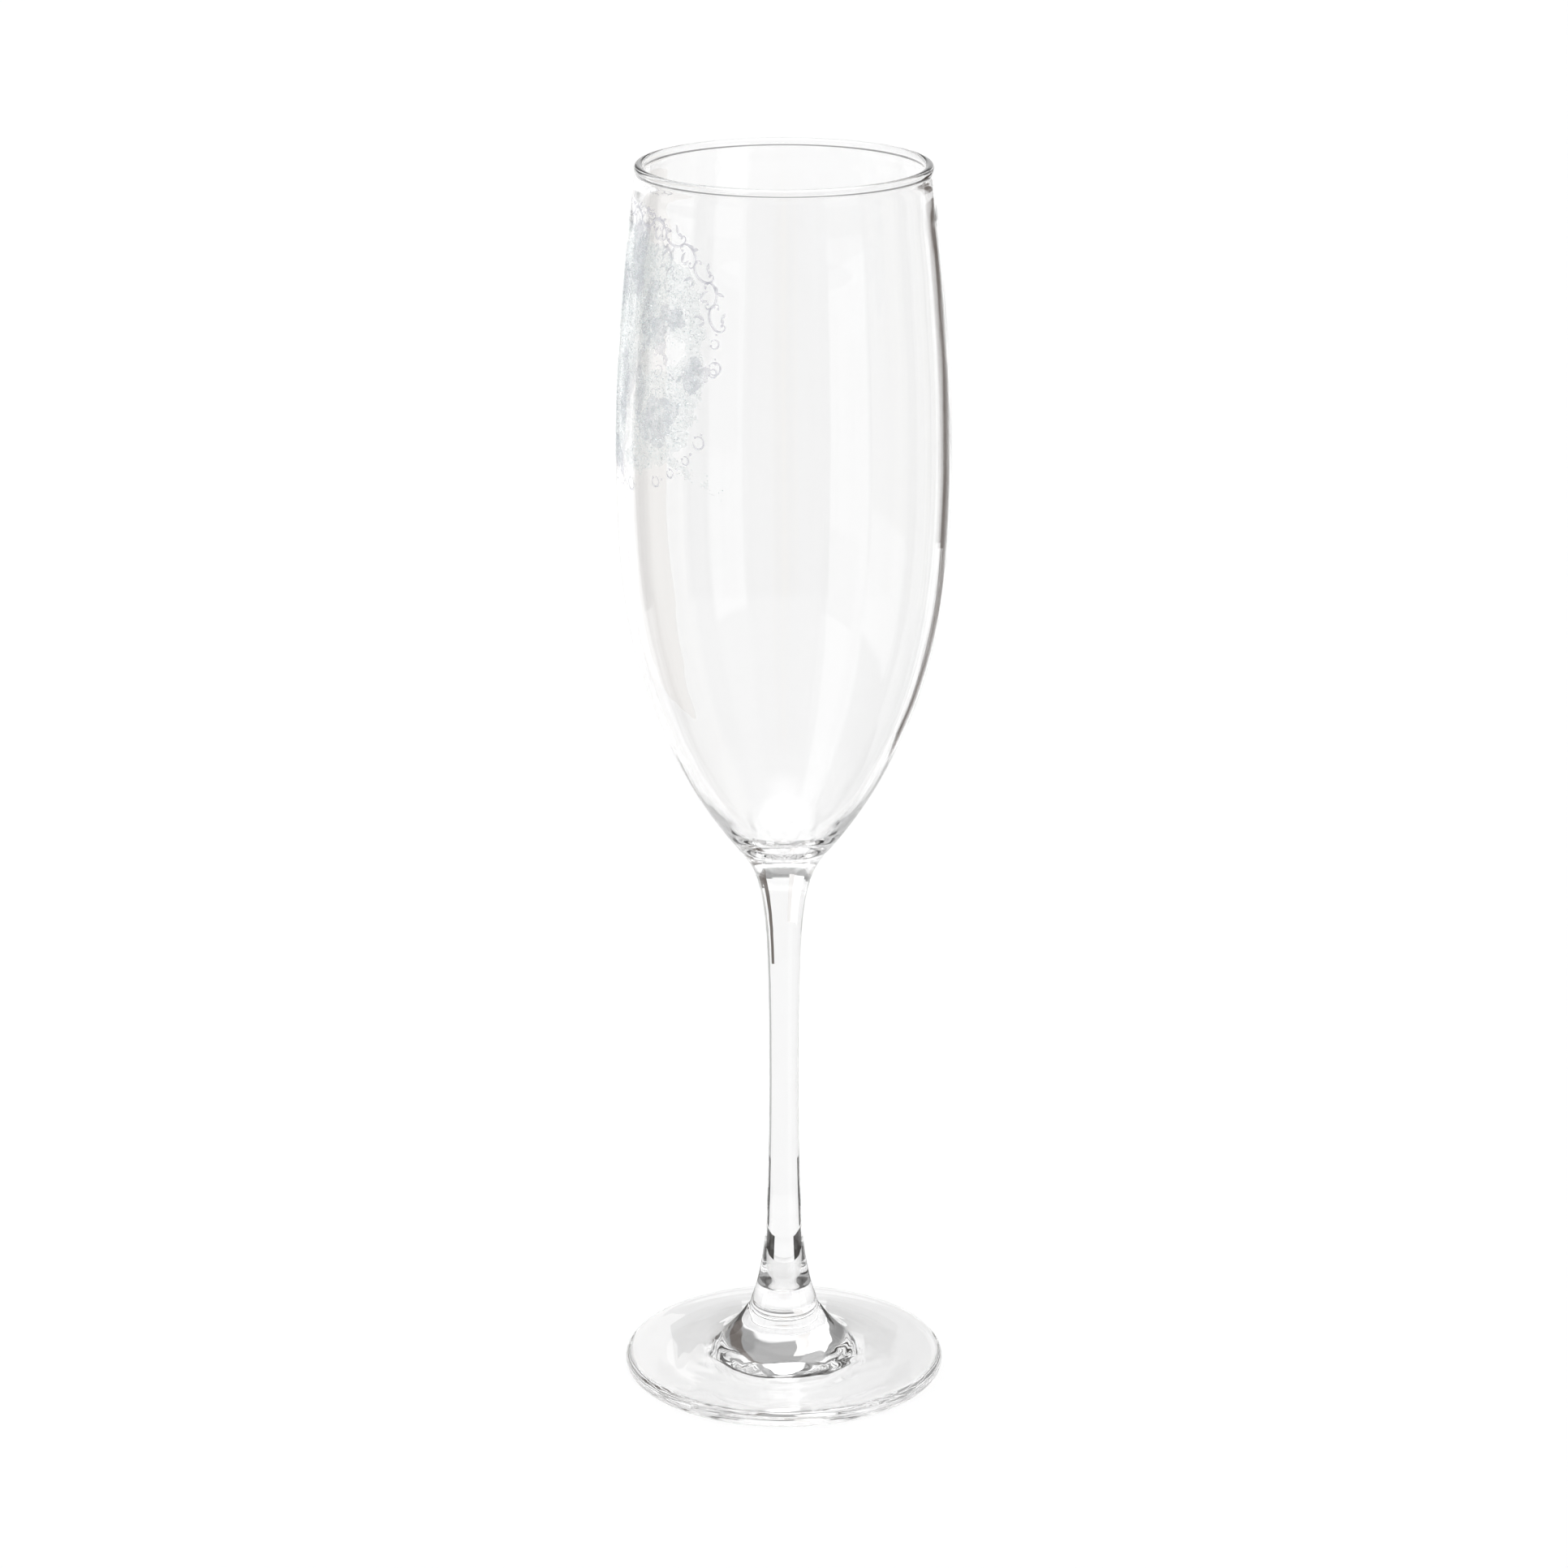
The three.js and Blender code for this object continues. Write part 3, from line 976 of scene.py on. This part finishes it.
# %% World
def bearing(degrees):
    """A level direction, in degrees clockwise from +Y as seen from above."""
    angle = math.radians(degrees)
    return (math.sin(angle), math.cos(angle), 0)


WHITE_BAND = 1.05
DIM_ROOM = 0.34
OVERHEAD = 2.72
SCREEN_HALF_WIDTH = 17
SCREEN_TOP = 14

world = bpy.data.worlds.new("studio")
world.use_nodes = True
bpy.context.scene.world = world
nodes, links = world.node_tree.nodes, world.node_tree.links
direction = nodes.new("ShaderNodeTexCoord").outputs["Generated"]
split = nodes.new("ShaderNodeSeparateXYZ")
links.new(direction, split.inputs[0])
ramp = nodes.new("ShaderNodeValToRGB")
ramp.color_ramp.interpolation = "EASE"
stops = ((0.0, WHITE_BAND), (0.13, WHITE_BAND), (0.17, DIM_ROOM), (0.76, DIM_ROOM), (0.87, OVERHEAD))
elements = ramp.color_ramp.elements
while len(elements) < len(stops):
    elements.new(0.5)
for element, (height, level) in zip(elements, stops):
    element.position = height
    element.color = (level, level, level, 1)
links.new(split.outputs["Z"], ramp.inputs["Fac"])


def soft_step(value, start, end):
    """A soft step from 0 to 1 as value goes from start to end."""
    step = nodes.new("ShaderNodeMapRange")
    step.interpolation_type = "SMOOTHSTEP"
    step.inputs["From Min"].default_value = start
    step.inputs["From Max"].default_value = end
    links.new(value, step.inputs["Value"])
    return step.outputs["Result"]


def joined(kind, operation, *values):
    """A maths node of one kind, fed by the values."""
    node = nodes.new(kind)
    node.operation = operation
    for socket, value in zip(node.inputs, values):
        if isinstance(value, bpy.types.NodeSocket):
            links.new(value, socket)
        else:
            socket.default_value = value
    return node.outputs["Value" if operation == "DOT_PRODUCT" else 0]


flattened = joined("ShaderNodeVectorMath", "MULTIPLY", direction, (1, 1, 0))
level_way = joined("ShaderNodeVectorMath", "NORMALIZE", flattened)
facing = joined("ShaderNodeVectorMath", "DOT_PRODUCT", level_way, bearing(0))
side, top = math.radians(SCREEN_HALF_WIDTH), math.radians(SCREEN_TOP)
SOFT_EDGE = math.radians(3)
across = soft_step(facing, math.cos(side + SOFT_EDGE), math.cos(side - SOFT_EDGE))
below = soft_step(split.outputs["Z"], math.sin(top + SOFT_EDGE), math.sin(top - SOFT_EDGE))
lighten = nodes.new("ShaderNodeMix")
lighten.data_type = "RGBA"
lighten.inputs["B"].default_value = (WHITE_BAND, WHITE_BAND, WHITE_BAND, 1)
links.new(joined("ShaderNodeMath", "MULTIPLY", across, below), lighten.inputs["Factor"])
links.new(ramp.outputs["Color"], lighten.inputs["A"])
links.new(lighten.outputs["Result"], nodes["Background"].inputs["Color"])
bpy.context.scene.view_settings.view_transform = "Standard"

# %% [markdown]
# Light that enters the rim of the foot is trapped in the thin disc and mirrored to and fro
# many times before it gets out. Blender gives a ray up after a few turns, which leaves
# black edges, so glass needs a longer allowance of mirrored and of transmitted turns.

# %% Turns that light may take
LIGHT_TURNS = 40
paths = bpy.context.scene.cycles
paths.max_bounces = LIGHT_TURNS
paths.transmission_bounces = LIGHT_TURNS
paths.glossy_bounces = LIGHT_TURNS
paths.transparent_max_bounces = LIGHT_TURNS

# %% [markdown]
# ## Cards round the glass
#
# Clear glass on white would vanish, so grey and black cards stand just out of the camera's
# view. The bowl's edges bend them into view as thin dark lines, and the front of the bowl
# mirrors them as faint upright streaks. Each card glows with a fixed colour of its own, in
# place of paper lit by the room. The tall cards are curved strips on circles round the flute.
# The low ones close to the foot darken the sides of its boss and of the stem's base, and the
# aprons lie flat on the table. The dark apron under the boss is painted shade: it stands for
# the shade that the foot throws on the table there. All are hidden from the camera, and cast
# no light or shade on the table: only glass and ink see them.

# %% Glowing card colour
STREAK_SCALE = 48
STREAK_SQUEEZE = 0.02
STREAK_EDGES = (0.35, 0.65)


def glowing_card(dark, light):
    """A card glowing with a colour of its own, in place of lit paper, in soft upright streaks between two
    colours.
    """
    material = bpy.data.materials.new("glowing_card")
    material.use_nodes = True
    nodes, links = material.node_tree.nodes, material.node_tree.links
    shader = nodes["Principled BSDF"]
    # The card's colour is emitted, not lit: a glow that stands in for paper lit by the room.
    shader.inputs["Base Color"].default_value = (0, 0, 0, 1)
    shader.inputs["Specular IOR Level"].default_value = 0
    shader.inputs["Emission Strength"].default_value = 1
    place = nodes.new("ShaderNodeNewGeometry")
    flat = nodes.new("ShaderNodeVectorMath")
    flat.operation = "MULTIPLY"
    flat.inputs[1].default_value = (1, 1, STREAK_SQUEEZE)
    streaks = nodes.new("ShaderNodeTexNoise")
    streaks.inputs["Scale"].default_value = STREAK_SCALE
    streaks.inputs["Detail"].default_value = 3
    ramp = nodes.new("ShaderNodeValToRGB")
    for element, edge, colour in zip(ramp.color_ramp.elements, STREAK_EDGES, (dark, light)):
        element.position = edge
        element.color = (*colour, 1)
    links.new(place.outputs["Position"], flat.inputs[0])
    links.new(flat.outputs["Vector"], streaks.inputs["Vector"])
    links.new(streaks.outputs["Fac"], ramp.inputs["Fac"])
    links.new(ramp.outputs["Color"], shader.inputs["Emission Color"])
    return material


# %% [markdown]
# Every card is a strip between two bearings, bent round the flute. Its two long edges each
# have a distance from the axis and a height: an upright card's edges differ in height, and
# an apron's in distance.

# %% Cards
DEGREES_PER_STEP = 3
APRON_HEIGHT = 0.0004


def bent_card(start, end, edges, dark, light):
    """A strip between two bearings, with the distance and height of each long edge."""
    steps = max(2, int(abs(end - start) / DEGREES_PER_STEP))
    points, faces = [], []
    for i in range(steps + 1):
        x, y, _ = bearing(start + (end - start) * i / steps)
        points += [(x * distance, y * distance, height) for distance, height in edges]
    for i in range(0, 2 * steps, 2):
        faces.append((i, i + 1, i + 3, i + 2))
    mesh = bpy.data.meshes.new("studio_card")
    mesh.from_pydata(points, [], faces)
    mesh.materials.append(glowing_card(dark, light))
    item = bpy.data.objects.new("studio_card", mesh)
    bpy.context.scene.collection.objects.link(item)
    item.visible_camera = item.visible_diffuse = item.visible_shadow = False


def card(start, end, distance, low, high, dark, light=None):
    """A curved upright card."""
    bent_card(start, end, ((distance, low), (distance, high)), dark, light or dark)


def apron(start, end, inner, outer, shade):
    """A flat, even card on the table."""
    bent_card(start, end, ((inner, APRON_HEIGHT), (outer, APRON_HEIGHT)), shade, shade)


# %% [markdown]
# On these bearings 0 is behind the flute as the camera sees it, 90 is on its right and 180
# is where the camera stands. The tall cards come first, from the right round the front to
# the left and the back, and then the low ones and the aprons. On the bearings that are
# behind the flute in its other views, the tall cards start high up or are left out.

# %% Where the cards stand
BLACK = (0.15, 0.13, 0.118)
DEEP_BLACK = (0.05, 0.047, 0.045)
CHARCOAL = (0.14, 0.14, 0.14)
SLATE = (0.24, 0.24, 0.24)
GREY = (0.34, 0.34, 0.34)
SAND = (0.34, 0.27, 0.17)
MID = (0.45, 0.45, 0.45)
PALE = (0.62, 0.61, 0.59)
CREAM = (0.97, 0.955, 0.94)
BRIGHT = (1.3, 1.3, 1.3)
RING, INNER_RING, SIDE, CLOSE, NEAR = 0.40, 0.39, 0.20, 0.045, 0.025
TABLE, BOSS, STEM_TOP, WAIST = 0, 0.02, 0.11, 0.12
LEDGE, RIM, EAVES, TOP = 0.215, 0.24, 0.26, 0.45
CLOSE_HEIGHTS, NEAR_HEIGHTS = (0.002, 0.022), (0.004, 0.013)
BOSS_INSIDE, BOSS_OUTSIDE, FOOT_OUTSIDE, FAR = 0.003, 0.013, 0.05, 1.0
card(28, 52, SIDE, STEM_TOP, RIM, BLACK)
card(28, 40, SIDE, BOSS, STEM_TOP, BLACK)
card(52, 102, RING, TABLE, TOP, GREY, PALE)
card(102, 121, RING, TABLE, TOP, SLATE, GREY)
card(121, 149, RING, LEDGE, TOP, MID)
card(-149, -121, INNER_RING, WAIST, LEDGE, DEEP_BLACK)
card(-149, -121, INNER_RING, LEDGE, TOP, MID)
card(149, 171, RING, TABLE, TOP, SLATE, GREY)
card(171, 186, RING, TABLE, TOP, CHARCOAL, SAND)
card(186, 250, RING, TABLE, TOP, CHARCOAL, GREY)
card(-72, -60, RING, TABLE, TOP, MID)
card(-60, -14, RING, RIM, TOP, MID)
card(-34, -14.5, RING, TABLE, RIM, BRIGHT)
card(-14.5, -7, RING, TABLE, EAVES, CREAM)
for start, end in ((50, 98), (-98, -50)):
    card(start, end, CLOSE, *CLOSE_HEIGHTS, DEEP_BLACK)
for start, end in ((20, 64), (-64, -20)):
    card(start, end, NEAR, *NEAR_HEIGHTS, DEEP_BLACK)
# Painted shade: a near-black apron on the table under the boss, seen only through the glass, stands for the
# shade the foot throws there.
apron(100, 260, BOSS_INSIDE, BOSS_OUTSIDE, DEEP_BLACK)
apron(150, 245, FOOT_OUTSIDE, RING, MID)
apron(245, 290, FOOT_OUTSIDE, FAR, PALE)
apron(52, 121, FOOT_OUTSIDE, RING, MID)
